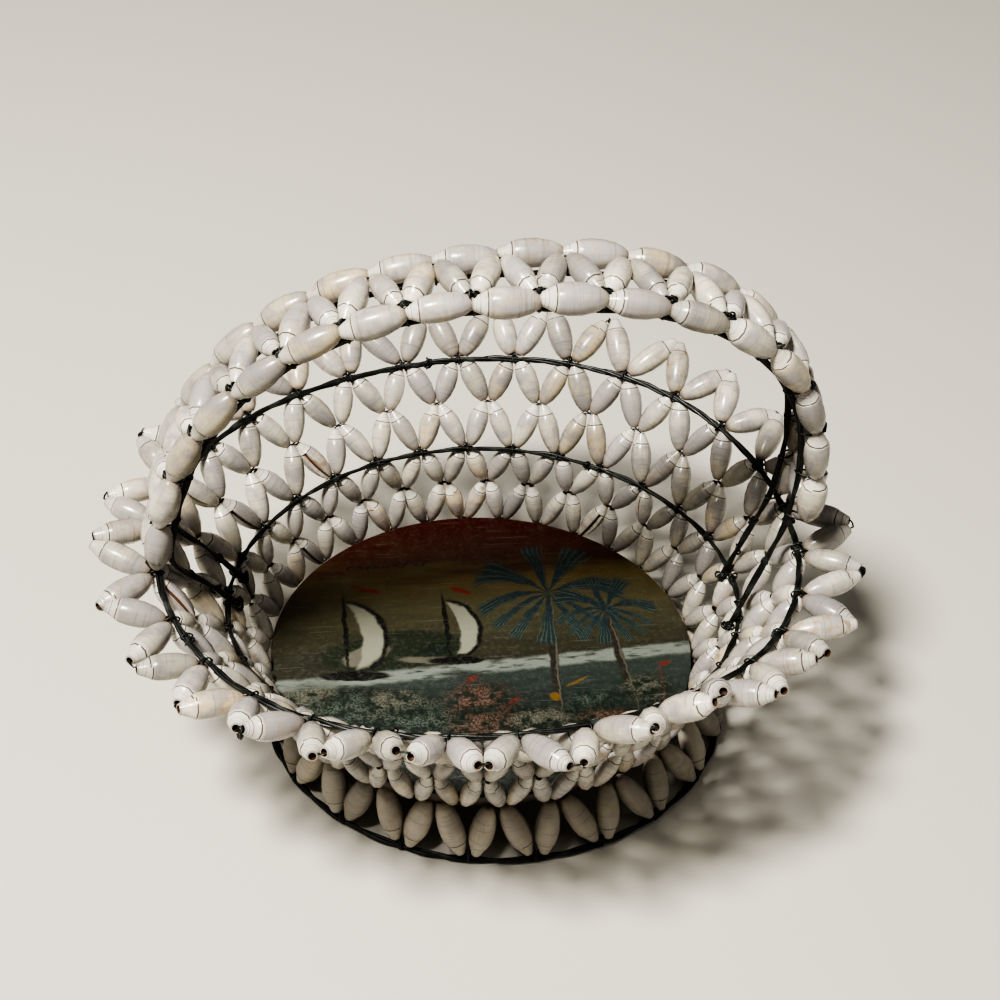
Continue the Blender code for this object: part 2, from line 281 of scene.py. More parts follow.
def makeShellFinish(name, settings):
    material, tree, shader = newMaterial(name)
    uv = addNode(tree, "ShaderNodeUVMap", uv_map="shellTurn").outputs[0]
    around, along, _ = splitAxes(tree, uv)
    tone = addNode(tree, "ShaderNodeAttribute", attribute_name="shellTone")
    tones = addNode(tree, "ShaderNodeSeparateColor")
    tree.links.new(tone.outputs["Color"], tones.inputs[0])
    hue, light, age = tones.outputs[:3]
    hollowShade = addNode(tree, "ShaderNodeAttribute", attribute_name="shellHollow").outputs["Fac"]
    place = addNode(tree, "ShaderNodeTexCoord").outputs["Object"]

    # the ground colour runs from cream to rose or straw, and each shell keeps its own share
    body = mixColours(tree, softStep(tree, hue, 0.45, 1.0, 0.0, 0.85), settings["cream"], settings["rose"])
    body = mixColours(tree, softStep(tree, hue, 0.25, 0.0, 0.0, 0.75), body, settings["straw"])
    clouds = noiseAt(tree, place, 150.0, 3.0)
    body = mixColours(tree, softStep(tree, clouds, 0.40, 0.62, 0.0, 0.90), body, settings["rose"])
    streaks = noiseAt(tree, scaledAxes(tree, (around, 26.0), (along, 1.6), (hue, 37.0)), 1.0, 2.0)
    body = mixColours(tree, softStep(tree, streaks, 0.50, 0.75, 0.0, 0.40), body, settings["stain"])
    slanted = calc(tree, "MULTIPLY_ADD", around, 0.05, along)
    growth = noiseAt(tree, scaledAxes(tree, (around, 1.5), (slanted, 24.0), (light, 53.0)), 1.0, 3.0, 0.6)
    body = mixColours(tree, softStep(tree, growth, 0.52, 0.72, 0.0, 0.45), body, settings["grimeAndShade"])
    spire = softStep(tree, along, 0.72, 0.80)
    body = mixColours(tree, calc(tree, "MULTIPLY", spire, 0.7), body, settings["spire"])
    mouth = softStep(tree, along, 0.16, 0.0, 0.0, 0.45)
    body = mixColours(tree, mouth, body, settings["stain"])
    # both ends darkened: partly real dirt where the wire holds them, partly painted shade where the shells
    # touch at the nodes
    ends = calc(tree, "MAXIMUM", softStep(tree, along, 0.07, 0.0), softStep(tree, along, 0.955, 1.0))
    body = mixColours(tree, calc(tree, "MULTIPLY", ends, 0.65), body, settings["grimeAndShade"])
    worn = mottle(tree, place, 420.0, calc(tree, "MULTIPLY", age, 0.9), body, settings["stain"])
    body = worn["Colour"]

    # the coil's seams: thin dark lines that climb a little as they go round
    climb = calc(tree, "MULTIPLY_ADD", around, settings["seamClimb"], along)
    faint = softStep(tree, hue, 0.3, 1.0, 0.20, 0.80)
    seams = 0.0
    for (height, width), strength in zip(settings["seams"], (0.95, faint, faint)):
        away = calc(tree, "ABSOLUTE", calc(tree, "SUBTRACT", climb, height))
        seam = calc(tree, "MULTIPLY", softStep(tree, away, width, width * 0.35), strength)
        seams = calc(tree, "MAXIMUM", seams, seam)
    body = mixColours(tree, seams, body, settings["line"])
    # the faces inside the hole and the slit are painted near-black brown: painted shade of the shell's hollow
    # inside
    body = mixColours(tree, hollowShade, body, settings["hollowShade"])
    shade = addNode(tree, "ShaderNodeHueSaturation")
    tree.links.new(body, shade.inputs["Color"])
    tree.links.new(softStep(tree, light, 0.0, 1.0, 0.68, 1.12), shade.inputs["Value"])
    tree.links.new(shade.outputs[0], shader.inputs["Base Color"])
    low, high = settings["roughness"]
    tree.links.new(softStep(tree, worn["Height"], 0.5, 1.0, low, high), shader.inputs["Roughness"])
    shader.inputs["Coat Weight"].default_value = settings["coat"]
    shader.inputs["Coat Roughness"].default_value = settings["coatRoughness"]

    rise = calc(tree, "MULTIPLY_ADD", growth, 0.45, calc(tree, "MULTIPLY", streaks, 0.25))
    rise = calc(tree, "MULTIPLY_ADD", seams, -1.0, rise)
    rise = calc(tree, "MULTIPLY_ADD", worn["Height"], 0.12, rise)
    bumpBy(tree, shader, rise, settings["bump"], settings["bumpDepth"])
    return material


shellFinish = makeShellFinish("oliveShell", glossyShell)
footShellFinish = makeShellFinish("mattOliveShell", mattShell)


# wire finish

wireSettings = {
    "black": (0.010, 0.011, 0.010, 1.0),
    "verdigris": (0.050, 0.060, 0.053, 1.0),
    "metallic": 0.35,
    "bump": 0.45,
    "bumpDepth": 0.0002,
}


def makeWireFinish(name, settings):
    material, tree, shader = newMaterial(name)
    place = addNode(tree, "ShaderNodeTexCoord").outputs["Object"]
    coat = mottle(tree, place, 260.0, 0.6, settings["black"], settings["verdigris"])
    tree.links.new(coat["Colour"], shader.inputs["Base Color"])
    tree.links.new(softStep(tree, coat["Height"], 0.4, 1.1, 0.30, 0.62), shader.inputs["Roughness"])
    shader.inputs["Metallic"].default_value = settings["metallic"]
    bumpBy(tree, shader, coat["Height"], settings["bump"], settings["bumpDepth"])
    return material


wireFinish = makeWireFinish("blackWire", wireSettings)
print("shell and wire finishes made")


# painted board

boardSettings = {
    "halfLength": 0.0650,
    "halfWidth": 0.0570,
    "middle": (0.0020, 0.0, 0.0),
    "underside": 0.0200,
    "thickness": 0.0040,
    "corners": 96,
    "rounding": 0.0007,
    "bareEdge": (0.035, 0.024, 0.016, 1.0),
    "coat": 0.05,
    "coatRoughness": 0.25,
    "specular": 0.3,
    "bump": 0.35,
    "bumpDepth": 0.0002,
}

paintColours = {
    "sky": [(0.0, (0.026, 0.026, 0.017)), (0.30, (0.064, 0.058, 0.030)), (0.60, (0.090, 0.064, 0.020)),
            (0.78, (0.052, 0.018, 0.008)), (1.0, (0.036, 0.005, 0.003))],
    "water": [(0.0, (0.006, 0.009, 0.007)), (0.55, (0.011, 0.016, 0.013)), (1.0, (0.030, 0.040, 0.034))],
    "surf": (0.170, 0.190, 0.165, 1.0),
    "land": (0.015, 0.020, 0.011, 1.0),
    "cliff": (0.130, 0.120, 0.095, 1.0),
    "frond": (0.013, 0.027, 0.033, 1.0),
    "frondLight": (0.100, 0.120, 0.060, 1.0),
    "trunk": (0.022, 0.020, 0.015, 1.0),
    "sail": (0.205, 0.210, 0.160, 1.0),
    "dark": (0.006, 0.006, 0.005, 1.0),
    "red": (0.150, 0.018, 0.010, 1.0),
    "bush": (0.009, 0.015, 0.009, 1.0),
    "bloomWhite": (0.110, 0.105, 0.080, 1.0),
    "bloomCoral": (0.105, 0.034, 0.022, 1.0),
    "bloomTeal": (0.018, 0.042, 0.034, 1.0),
    "yellow": (0.130, 0.075, 0.014, 1.0),
    "film": (0.16, 0.15, 0.12, 1.0),
    "scratch": (0.30, 0.28, 0.22, 1.0),
}

# places in the picture's own coordinates, which run from -1 to 1 both ways
paintPlaces = {
    "wander": 0.034,  # how far a hand-held brush strays
    "horizon": -0.12,
    # x, y, size
    "boats": ((-0.62, 0.02, 0.95), (-0.14, 0.06, 0.78)),
    # x, foot, crown, size, lean
    "palms": ((0.36, -0.62, 0.36, 0.40, 0.06), (0.62, -0.50, 0.22, 0.27, -0.05)),
    # x, y, height
    "reeds": ((-0.80, -0.30, 0.34), (-0.12, -0.24, 0.30), (0.06, -0.40, 0.26), (0.80, -0.20, 0.30)),
    # x, y, half width, half height, colour
    "bushes": (
        (-0.80, -0.34, 0.17, 0.13, "bloomWhite"), (-0.62, -0.46, 0.24, 0.17, "bloomTeal"),
        (-0.42, -0.38, 0.16, 0.10, "bloomWhite"), (-0.30, -0.54, 0.24, 0.14, "bloomTeal"),
        (-0.04, -0.42, 0.16, 0.16, "bloomCoral"), (0.00, -0.58, 0.20, 0.11, "bloomCoral"),
        (0.24, -0.56, 0.18, 0.11, "bloomWhite"), (0.48, -0.44, 0.13, 0.09, "bloomTeal"),
        (0.52, -0.58, 0.16, 0.10, "bloomCoral"), (0.74, -0.36, 0.12, 0.09, "bloomWhite"),
        (-0.45, -0.66, 0.30, 0.10, "bloomTeal"), (0.10, -0.72, 0.34, 0.09, "bloomTeal"),
    ),
}


def makePaintedFinish(board, colours, places):
    material, tree, shader = newMaterial("paintedBoard")
    place = addNode(tree, "ShaderNodeTexCoord").outputs["Object"]
    centred = addNode(tree, "ShaderNodeMapping", vector_type="TEXTURE")
    tree.links.new(place, centred.inputs[0])
    centred.inputs["Location"].default_value = board["middle"]
    centred.inputs["Scale"].default_value = (board["halfLength"], board["halfWidth"], 1.0)
    flat = centred.outputs[0]

    # the brush strays, so all edges are read through a little noise
    wander = addNode(tree, "ShaderNodeTexNoise")
    tree.links.new(flat, wander.inputs["Vector"])
    wander.inputs["Scale"].default_value = 16.0
    wander.inputs["Detail"].default_value = 3.0
    offset = addNode(tree, "ShaderNodeVectorMath", operation="MULTIPLY_ADD")
    tree.links.new(wander.outputs["Color"], offset.inputs[0])
    stray = places["wander"]
    offset.inputs[1].default_value = (stray, stray, 0.0)
    offset.inputs[2].default_value = (-stray / 2, -stray / 2, 0.0)
    loose = addNode(tree, "ShaderNodeVectorMath", operation="ADD")
    tree.links.new(flat, loose.inputs[0])
    tree.links.new(offset.outputs[0], loose.inputs[1])
    brushed = loose.outputs[0]
    across, up, _ = splitAxes(tree, brushed)

    def around(x, y, halfLong, halfWide, turn=0.0):
        spot = addNode(tree, "ShaderNodeMapping", vector_type="TEXTURE")
        tree.links.new(brushed, spot.inputs[0])
        spot.inputs["Location"].default_value = (x, y, 0.0)
        spot.inputs["Rotation"].default_value = (0.0, 0.0, math.radians(turn))
        spot.inputs["Scale"].default_value = (halfLong, halfWide, 1000.0)
        return spot.outputs[0]

    def lengthOf(vector):
        far = addNode(tree, "ShaderNodeVectorMath", operation="LENGTH")
        tree.links.new(vector, far.inputs[0])
        return far.outputs["Value"]

    def within(x, y, halfLong, halfWide, turn=0.0, softness=0.15):
        far = lengthOf(around(x, y, halfLong, halfWide, turn))
        return softStep(tree, far, 1.0 + softness, 1.0 - softness)

    def stroke(start, end, width, softness=0.25):
        run = Vector(end) - Vector(start)
        middle = (Vector(end) + Vector(start)) / 2
        turn = math.degrees(math.atan2(run.y, run.x))
        return within(middle.x, middle.y, run.length / 2, width / 2, turn, softness)

    def lay(picture, mask, colour, strength=1.0):
        return mixColours(tree, calc(tree, "MULTIPLY", mask, strength), picture, colours[colour])

    def stretched(scaleAcross, scaleUp, detail=3.0):
        longer = addNode(tree, "ShaderNodeMapping")
        tree.links.new(flat, longer.inputs[0])
        longer.inputs["Scale"].default_value = (scaleAcross, scaleUp, 1.0)
        return noiseAt(tree, longer.outputs[0], 1.0, detail, 0.6)

    # sky above the surf line, water below it
    horizon = places["horizon"]
    sweep = calc(tree, "MULTIPLY_ADD", stretched(2.0, 14.0), 0.45, calc(tree, "ADD", up, -0.22))
    picture = ramp(tree, softStep(tree, sweep, horizon, 0.98), colours["sky"])
    ripples = calc(tree, "MULTIPLY_ADD", stretched(3.0, 26.0), 0.5, calc(tree, "ADD", up, -0.25))
    water = ramp(tree, softStep(tree, ripples, -0.95, horizon), colours["water"])
    sag = calc(tree, "MULTIPLY_ADD", across, -0.07, up)
    picture = mixColours(tree, softStep(tree, sag, horizon + 0.01, horizon - 0.01), picture, water)

    # island with a pale cliff, at the left
    picture = lay(picture, within(-0.42, -0.02, 0.36, 0.13, 4), "land")
    picture = lay(picture, within(-0.30, 0.04, 0.20, 0.09, -10), "land")
    picture = lay(picture, within(-0.55, -0.03, 0.12, 0.06, 25), "cliff", 0.8)
    picture = lay(picture, stroke((-0.40, -0.07), (-0.10, -0.10), 0.05), "cliff", 0.7)
    picture = lay(picture, within(-0.22, -0.01, 0.08, 0.05, 15, 0.5), "bush", 0.9)
    surfBand = calc(tree, "ABSOLUTE", calc(tree, "SUBTRACT", sag, horizon - 0.035))
    surf = softStep(tree, surfBand, 0.055, 0.025)
    broken = softStep(tree, stretched(9.0, 40.0), 0.30, 0.50)
    picture = lay(picture, calc(tree, "MULTIPLY", surf, broken), "surf", 0.9)

    # two sailing boats with curved sails, and their dark reflections
    for x, y, size in places["boats"]:
        outer = within(x, y + 0.10 * size, 0.16 * size, 0.25 * size, 8, 0.06)
        cut = within(x - 0.10 * size, y + 0.12 * size, 0.15 * size, 0.34 * size, 8, 0.06)
        sail = calc(tree, "MULTIPLY", outer, calc(tree, "SUBTRACT", 1.0, cut))
        rim = within(x + 0.012, y + 0.10 * size, 0.175 * size, 0.27 * size, 8, 0.05)
        edge = calc(tree, "MULTIPLY", rim, calc(tree, "SUBTRACT", 1.0, cut))
        picture = lay(picture, edge, "dark")
        picture = lay(picture, sail, "sail")
        mast = stroke((x - 0.02 * size, y - 0.16 * size), (x - 0.03 * size, y + 0.42 * size), 0.022)
        hull = within(x + 0.01, y - 0.20 * size, 0.17 * size, 0.035 * size, -3)
        reflection = within(x + 0.03, y - 0.32 * size, 0.15 * size, 0.028 * size, -2, 0.6)
        pennant = stroke((x + 0.02, y + 0.48 * size), (x + 0.16 * size, y + 0.42 * size), 0.035)
        picture = lay(picture, mast, "dark")
        picture = lay(picture, hull, "dark")
        picture = lay(picture, reflection, "dark", 0.7)
        picture = lay(picture, pennant, "red")

    # two palms at the right: trunks, then crowns of drooping fronds
    for x, foot, crown, size, lean in places["palms"]:
        trunk = stroke((x - lean, foot), (x, crown), 0.042, 0.35)
        shine = stroke((x - lean + 0.012, foot), (x + 0.012, crown), 0.010, 0.5)
        picture = lay(picture, trunk, "trunk")
        picture = lay(picture, shine, "cliff", 0.5)
        spot = around(x, crown, size, size)
        reach = lengthOf(spot)
        side, rise, _ = splitAxes(tree, spot)
        lifted = calc(tree, "MULTIPLY_ADD", calc(tree, "MULTIPLY", side, side), 0.75, rise)
        turn = calc(tree, "ARCTAN2", lifted, side)
        leaves = calc(tree, "COSINE", calc(tree, "MULTIPLY", turn, 11.0))
        combed = calc(tree, "MULTIPLY", calc(tree, "SINE", calc(tree, "MULTIPLY", turn, 90.0)), 0.35)
        blade = softStep(tree, calc(tree, "ADD", leaves, combed), -0.25, 0.35)
        inside = softStep(tree, reach, 1.0, 0.86)
        frond = calc(tree, "MULTIPLY", blade, inside)
        picture = lay(picture, frond, "frond")
        streak = calc(tree, "MULTIPLY", softStep(tree, combed, 0.10, 0.30), frond)
        outer = softStep(tree, reach, 0.25, 0.8)
        picture = lay(picture, calc(tree, "MULTIPLY", streak, outer), "frondLight", 0.45)

    # reeds and small strokes, and a row of dashes high at the left
    for x, y, tall in places["reeds"]:
        picture = lay(picture, stroke((x, y - tall), (x + 0.03, y), 0.012, 0.5), "red", 0.5)
        picture = lay(picture, within(x + 0.05, y + 0.01, 0.032, 0.014, 20, 0.5), "red", 0.7)
    for k in range(9):
        x = -0.62 + 0.045 * k
        tilt = 0.02 if k % 2 else -0.012
        dash = stroke((x, 0.62 + tilt), (x + 0.035, 0.635 - tilt), 0.016)
        picture = lay(picture, dash, "dark", 0.7)

    # foreground bushes with stippled blossom
    dabs = softStep(tree, stretched(95.0, 80.0, 3.0), 0.44, 0.62)
    groups = softStep(tree, stretched(17.0, 17.0, 2.0), 0.40, 0.56)
    touch = calc(tree, "MULTIPLY", dabs, groups)
    for x, y, wide, tall, colour in places["bushes"]:
        clump = within(x, y, wide, tall, 0, 0.45)
        picture = lay(picture, clump, "bush", 0.75)
        picture = lay(picture, calc(tree, "MULTIPLY", clump, touch), colour, 0.75)
        lit = within(x - 0.02, y + tall * 0.40, wide * 0.65, tall * 0.45, 0, 0.6)
        picture = lay(picture, calc(tree, "MULTIPLY", lit, groups), colour, 0.35)
        picture = lay(picture, calc(tree, "MULTIPLY", lit, touch), "bloomWhite", 0.55)
    picture = lay(picture, within(0.30, -0.38, 0.026, 0.024, 0, 0.3), "yellow", 0.9)
    picture = lay(picture, stroke((0.36, -0.32), (0.47, -0.25), 0.016), "yellow", 0.8)

    # age: a dull patchy film and fine scratches, and only the upper face is painted
    worn = mottle(tree, place, 700.0, 0.10, picture, colours["film"])
    scratch = softStep(tree, stretched(3.0, 160.0, 1.0), 0.68, 0.74)
    picture = lay(worn["Colour"], scratch, "scratch", 0.25)
    paintEdge = board["underside"] + board["thickness"] - 0.0004
    top = softStep(tree, splitAxes(tree, place)[2], paintEdge - 0.0002, paintEdge + 0.0002)
    picture = mixColours(tree, top, board["bareEdge"], picture)
    tree.links.new(picture, shader.inputs["Base Color"])
    tree.links.new(softStep(tree, worn["Height"], 0.4, 1.1, 0.30, 0.50), shader.inputs["Roughness"])
    shader.inputs["Specular IOR Level"].default_value = board["specular"]
    shader.inputs["Coat Weight"].default_value = board["coat"]
    shader.inputs["Coat Roughness"].default_value = board["coatRoughness"]
    relief = calc(tree, "MULTIPLY_ADD", touch, 0.8, stretched(14.0, 60.0))
    bumpBy(tree, shader, relief, board["bump"], board["bumpDepth"])
    return material


def deselectAll():
    if bpy.context.object and bpy.context.object.mode != "OBJECT":
        bpy.ops.object.mode_set(mode="OBJECT")
    bpy.ops.object.select_all(action="DESELECT")


def settle(piece):
    deselectAll()
    piece.select_set(True)
    bpy.context.view_layer.objects.active = piece
    bpy.ops.object.transform_apply(location=True, rotation=True, scale=True)


def selectEdges(piece, test):
    mesh = piece.data
    bpy.ops.object.mode_set(mode="OBJECT")
    for item in (*mesh.vertices, *mesh.edges, *mesh.polygons):
        item.select = False
    for edge in mesh.edges:
        one, other = (mesh.vertices[i].co for i in edge.vertices)
        edge.select = test(one, other)
    bpy.ops.object.mode_set(mode="EDIT")
    bpy.ops.mesh.select_mode(type="EDGE")


def makeBoard(settings):
    deselectAll()
    x, y, _ = settings["middle"]
    height = settings["underside"] + settings["thickness"] / 2
    bpy.ops.mesh.primitive_cylinder_add(
        vertices=settings["corners"], radius=1.0, depth=settings["thickness"], location=(x, y, height)
    )
    board = bpy.context.object
    board.name = "paintedFloorBoard"
    board.scale = (settings["halfLength"], settings["halfWidth"], 1.0)
    settle(board)
    selectEdges(board, lambda one, other: abs(one.z - other.z) < 1e-6)
    bpy.ops.mesh.bevel(offset=settings["rounding"], segments=2, affect="EDGES")
    bpy.ops.object.mode_set(mode="OBJECT")
    bpy.ops.object.shade_smooth_by_angle(angle=math.radians(40))
    board.data.materials.append(makePaintedFinish(settings, paintColours, paintPlaces))
    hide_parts("floor_board")
    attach(board, "root")


makeBoard(boardSettings)
print("painted board made")


# the lines that shells and wires follow, level by level: 0 board edge, 2 lower ring, 4 rim, 5 free tips

wallShape = {
    "outsideBoard": 0.0015,
    "lowerHalves": (0.0780, 0.0625),
    "lowerOverBoard": 0.0245,
    "lowerDip": 0.0025,
    "rimHalves": (0.0940, 0.0790),
    "rimOverBoard": 0.0495,
    "rimDip": 0.0030,
    "waves": 3,
    "waveHeight": 0.0024,
    "wavePhase": math.radians(45),
    "topReach": 0.0160,
    "topSlopeAtEnds": math.radians(16),
    "topSlopeAtSides": math.radians(34),
    "pairs": 30,
    "tipRadius": 0.0010,
    "tipSpread": 0.00125,
    "tipGap": 0.0003,
    "tipMeet": 0.00035,
    "roomShare": 0.46,
    "pastBoardTop": 0.0012,
    "lowerWireInset": 0.0016,
    "rimWireInset": 0.0018,
}

boardTop = boardSettings["underside"] + boardSettings["thickness"]
boardMiddle = Vector(boardSettings["middle"])
boardHalves = (boardSettings["halfLength"], boardSettings["halfWidth"])


def ovalPoint(halves, angle, height, shift=Vector(), inset=0.0):
    halfLong, halfWide = (half - inset for half in halves)
    return shift + Vector((halfLong * math.cos(angle), halfWide * math.sin(angle), height))


def boardEdge(angle):
    return ovalPoint(boardHalves, angle, boardTop, boardMiddle, -wallShape["outsideBoard"])


def lowerRing(angle, inset=0.0):
    height = boardTop + wallShape["lowerOverBoard"] - wallShape["lowerDip"] * math.cos(2 * angle)
    return ovalPoint(wallShape["lowerHalves"], angle, height, boardMiddle, inset)


def rimLine(angle, inset=0.0):
    height = boardTop + wallShape["rimOverBoard"] - wallShape["rimDip"] * math.cos(2 * angle)
    height += wallShape["waveHeight"] * math.cos(wallShape["waves"] * (angle - wallShape["wavePhase"]))
    return ovalPoint(wallShape["rimHalves"], angle, height, inset=inset)


def freeTips(angle):
    low, high = wallShape["topSlopeAtEnds"], wallShape["topSlopeAtSides"]
    slope = low + (high - low) * math.sin(angle) ** 2
    reach = wallShape["topReach"]
    return rimLine(angle, -reach * math.cos(slope)) + Vector((0, 0, reach * math.sin(slope)))


def wallPoint(level, angle):
    if level == 1:
        return (boardEdge(angle) + lowerRing(angle)) / 2
    if level == 3:
        return (lowerRing(angle) + rimLine(angle)) / 2
    return {0: boardEdge, 2: lowerRing, 4: rimLine, 5: freeTips}[level](angle)


def evenAngles(line, count, steps=720):
    angles = [2 * math.pi * i / steps for i in range(steps + 1)]
    distances = [0.0]
    for one, other in zip(angles, angles[1:]):
        distances.append(distances[-1] + (line(other) - line(one)).length)
    found = []
    i = 0
    for k in range(count):
        wanted = distances[-1] * k / count
        while distances[i + 1] < wanted:
            i += 1
        share = (wanted - distances[i]) / (distances[i + 1] - distances[i])
        found.append(angles[i] + share * (angles[i + 1] - angles[i]))
    return found


def heading(line, angle, step=0.01):
    return (line(angle + step) - line(angle - step)).normalized()


wallAngles = evenAngles(rimLine, 2 * wallShape["pairs"])


# one olive shell of each make, modelled from a disc extruded ring by ring

shellSize = {
    "length": 0.0160,
    "radius": 0.0036,
    "slitDepth": 0.0008,
    "slitWall": 0.00028,
    "slitPinch": 0.42,
    "slitEnd": 0.74,  # share of the length
    "holeDepth": 0.0016,
    "holeLip": 0.08,  # share of the radius
    "holeFrom": 0.88,  # share of the length
    "creaseAngle": math.radians(50),
}

shellMakes = {
    # sides, whether it has a slit, and heights with radii, as shares of its length and greatest radius
    "plainSmall": (8, False, [
        (0.0, 0.32), (0.04, 0.47), (0.17, 0.76), (0.38, 0.97), (0.60, 1.0), (0.785, 0.80), (0.795, 0.755),
        (0.90, 0.54), (1.0, 0.32),
    ]),
    "slitSmall": (8, True, [
        (0.0, 0.34), (0.05, 0.52), (0.20, 0.82), (0.42, 1.0), (0.62, 0.97), (0.785, 0.79), (0.795, 0.745),
        (0.90, 0.53), (1.0, 0.32),
    ]),
    "plainLarge": (10, False, [
        (0.0, 0.30), (0.04, 0.46), (0.16, 0.74), (0.34, 0.94), (0.54, 1.0), (0.69, 0.94), (0.785, 0.81),
        (0.795, 0.76), (0.89, 0.58), (0.96, 0.45), (1.0, 0.37),
    ]),
    "slitLarge": (10, True, [
        (0.0, 0.33), (0.05, 0.52), (0.18, 0.80), (0.38, 0.98), (0.57, 1.0), (0.71, 0.92), (0.788, 0.80),
        (0.798, 0.75), (0.89, 0.57), (0.96, 0.44), (1.0, 0.36),
    ]),
}


def modelShell(name, sides, hasSlit, profile, size):
    length, radius = size["length"], size["radius"]
    deselectAll()
    bpy.ops.mesh.primitive_circle_add(
        vertices=sides, radius=radius * profile[0][1], fill_type="NGON", location=(0, 0, 0)
    )
    shell = bpy.context.object
    shell.name = name
    bpy.ops.object.mode_set(mode="EDIT")
    bpy.ops.mesh.select_mode(type="FACE")
    bpy.ops.mesh.select_all(action="SELECT")
    for (lower, narrow), (higher, wide) in zip(profile, profile[1:]):
        bpy.ops.mesh.extrude_region_move(TRANSFORM_OT_translate={"value": (0, 0, (higher - lower) * length)})
        bpy.ops.transform.resize(value=(wide / narrow, wide / narrow, 1))
    # the drilled hole at the tip of the spire
    bpy.ops.mesh.inset(thickness=radius * size["holeLip"])
    bpy.ops.mesh.extrude_region_move(TRANSFORM_OT_translate={"value": (0, 0, -size["holeDepth"])})
    bpy.ops.mesh.select_all(action="SELECT")
    bpy.ops.mesh.normals_make_consistent(inside=False)
    bpy.ops.object.mode_set(mode="OBJECT")
    shell.data.transform(Matrix.Rotation(-math.pi / sides, 4, "Z"))  # a column of faces now looks along +X
    if hasSlit:
        # the long narrow mouth: one column of faces, inset, pinched and sunk
        for face in shell.data.polygons:
            middle = face.center
            onColumn = abs(math.atan2(middle.y, middle.x)) < 0.5 * math.pi / sides
            face.select = onColumn and middle.z < size["slitEnd"] * length and abs(face.normal.z) < 0.9
        bpy.ops.object.mode_set(mode="EDIT")
        bpy.ops.mesh.inset(thickness=size["slitWall"], use_boundary=True, use_even_offset=True)
        bpy.ops.transform.resize(value=(1, size["slitPinch"], 1), center_override=(0, 0, 0.4 * length))
        bpy.ops.transform.translate(value=(-size["slitDepth"], 0, 0))
    bpy.ops.object.mode_set(mode="OBJECT")
    bpy.ops.object.shade_smooth_by_angle(angle=size["creaseAngle"])
    mesh = shell.data
    while mesh.uv_layers:
        mesh.uv_layers.remove(mesh.uv_layers[0])
    turns = mesh.uv_layers.new(name="shellTurn")
    for face in mesh.polygons:
        facing = math.atan2(face.center.y, face.center.x)
        for loop in face.loop_indices:
            spot = mesh.vertices[mesh.loops[loop].vertex_index].co
            turn = math.atan2(spot.y, spot.x)
            turn += 2 * math.pi * round((facing - turn) / (2 * math.pi))
            turns.data[loop].uv = (turn / (2 * math.pi) + 0.5, spot.z / length)
    # 1 on the faces inside the hole or the slit, which get the painted shade of the hollow inside
    hollowShade = mesh.attributes.new("shellHollow", "FLOAT", "CORNER")
    topRadius = radius * profile[-1][1]
    for face in mesh.polygons:
        inHole = face.center.z > size["holeFrom"] * length and face.center.xy.length < topRadius * 0.80
        inSlit = hasSlit and face.select
        for loop in face.loop_indices:
            hollowShade.data[loop].value = 1.0 if inHole or inSlit else 0.0
    mesh.materials.append(shellFinish)
    for collection in shell.users_collection:
        collection.objects.unlink(shell)
    return shell


shellShapes = {name: modelShell(name, *make, shellSize) for name, make in shellMakes.items()}
for name, shape in shellShapes.items():
    print("shell modelled:", name, len(shape.data.polygons), "faces")


def copyShell(shape, start, end, outward, radius, roll, tone):
    axis = (end - start).normalized()
    first = (outward - axis * outward.dot(axis)).normalized()
    first = Matrix.Rotation(roll, 3, axis) @ first
    turn = Matrix((first, axis.cross(first), axis)).transposed().to_4x4()
    widen = radius / shellSize["radius"]
    stretch = Matrix.Diagonal((widen, widen, (end - start).length / shellSize["length"], 1.0))
    copy = bpy.data.objects.new(shape.name + "Copy", shape.data.copy())
    copy.data.transform(Matrix.Translation(start) @ turn @ stretch)
    tones = copy.data.attributes.new("shellTone", "FLOAT_COLOR", "CORNER")
    tones.data.foreach_set("color", (*tone, 1.0) * len(copy.data.loops))
    bpy.context.scene.collection.objects.link(copy)
    return copy


def joinPieces(name, pieces, nodes):
    deselectAll()
    for piece in pieces:
        piece.select_set(True)
    bpy.context.view_layer.objects.active = pieces[0]
    bpy.ops.object.join()
    joined = bpy.context.object
    joined.name = name
    joined.data.name = name
    if nodes:
        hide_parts(*nodes)
    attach(joined, "root")


# hue runs from straw over cream to rose, light from dull to bright, and age is the share of stains
toneSettings = {
    "hues": (0.3, 0.35, 0.4, 0.5, 0.6, 0.7, 0.85, 0.95, 0.08),
    "hueSpread": 0.06,
    "light": (0.15, 1.0),
    "ages": (0.0, 0.1, 0.2, 0.2, 0.5),
    "oldShare": 0.03,
}


def shellTone(dice):
    spread = toneSettings["hueSpread"]
    hue = dice.choice(toneSettings["hues"]) + dice.uniform(-spread, spread)
    age = 1.0 if dice.random() < toneSettings["oldShare"] else dice.choice(toneSettings["ages"])
    return hue, dice.uniform(*toneSettings["light"]), age


# wires as bevelled curves, turned into meshes

